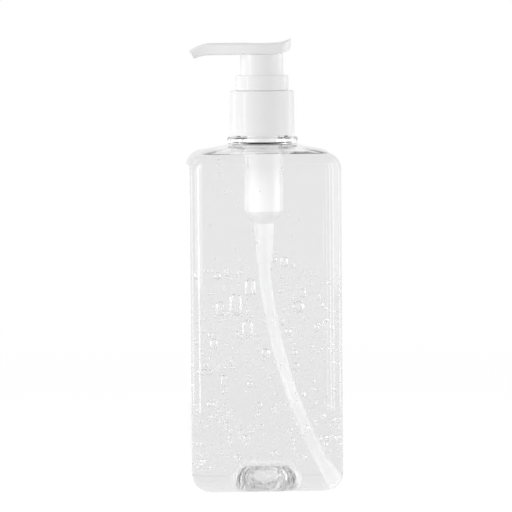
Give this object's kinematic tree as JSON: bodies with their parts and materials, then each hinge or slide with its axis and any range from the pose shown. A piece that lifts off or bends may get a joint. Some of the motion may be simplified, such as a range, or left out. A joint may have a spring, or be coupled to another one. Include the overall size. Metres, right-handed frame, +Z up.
{
  "type": "lotion pump bottle",
  "caption": "Clear square bottle filled with bubbly gel, closed by a white screw closure with a sprung lotion pump, curved dip tube and side spout.",
  "frame": {"origin": "middle of the bottle's base, on the plane it stands on", "axes": "+Z up along the pump axis, the spout points to -X, the square body's flats face X and Y"},
  "size_m": [0.0654, 0.0654, 0.1948],
  "materials": {
    "clear_pet": "clear blown polyester, glossy",
    "gel": "clear water-based gel with air bubbles",
    "tube_pe": "translucent natural polyethylene",
    "white_pp": "white moulded polypropylene, satin gloss",
    "gasket_foam": "pale sealing foam",
    "ball_steel": "polished stainless ball",
    "spring_steel": "stainless spring wire",
    "piston_pe": "soft natural polyethylene"
  },
  "bodies": {
    "bottle": {"bottle": "clear_pet", "gel": "gel"},
    "pump": {"pump_cylinder": "white_pp", "collar_ring": "white_pp", "neck_gasket": "gasket_foam", "dip_tube": "tube_pe", "return_spring": "spring_steel"},
    "closure": {"closure": "white_pp"},
    "seat": {"stem_seat": "white_pp"},
    "head": {"stem": "white_pp", "pump_head": "white_pp"},
    "piston": {"piston": "piston_pe"},
    "ball": {"inlet_ball": "ball_steel"}
  },
  "joints": [
    {"name": "pump_lift", "type": "slide", "parent": "bottle", "child": "pump", "axis": [0, 0, 1], "range_m": [0, 0.00476], "deforming": ["gel"]},
    {"name": "closure_turn", "type": "hinge", "parent": "pump", "child": "closure", "pos_m": [0, 0, 0.165], "axis": [0, 0, 1], "range_deg": [0, 540]},
    {"name": "head_press", "type": "slide", "parent": "pump", "child": "seat", "axis": [0, 0, -1], "range_m": [0, 0.0072], "stiffness_N_per_m": 600, "springref_m": -0.01, "deforming": ["return_spring"]},
    {"name": "head_turn", "type": "hinge", "parent": "seat", "child": "head", "pos_m": [0, 0, 0.185], "axis": [0, 0, 1], "continuous": true},
    {"name": "piston_slip", "type": "slide", "parent": "seat", "child": "piston", "axis": [0, 0, 1], "range_m": [0, 0.0012]},
    {"name": "ball_lift", "type": "slide", "parent": "pump", "child": "ball", "axis": [0, 0, 1], "range_m": [0, 0.0015]}
  ],
  "couplings": [
    {"joint": "closure_turn", "follows": "pump_lift", "rad_per_m": 1979}
  ]
}
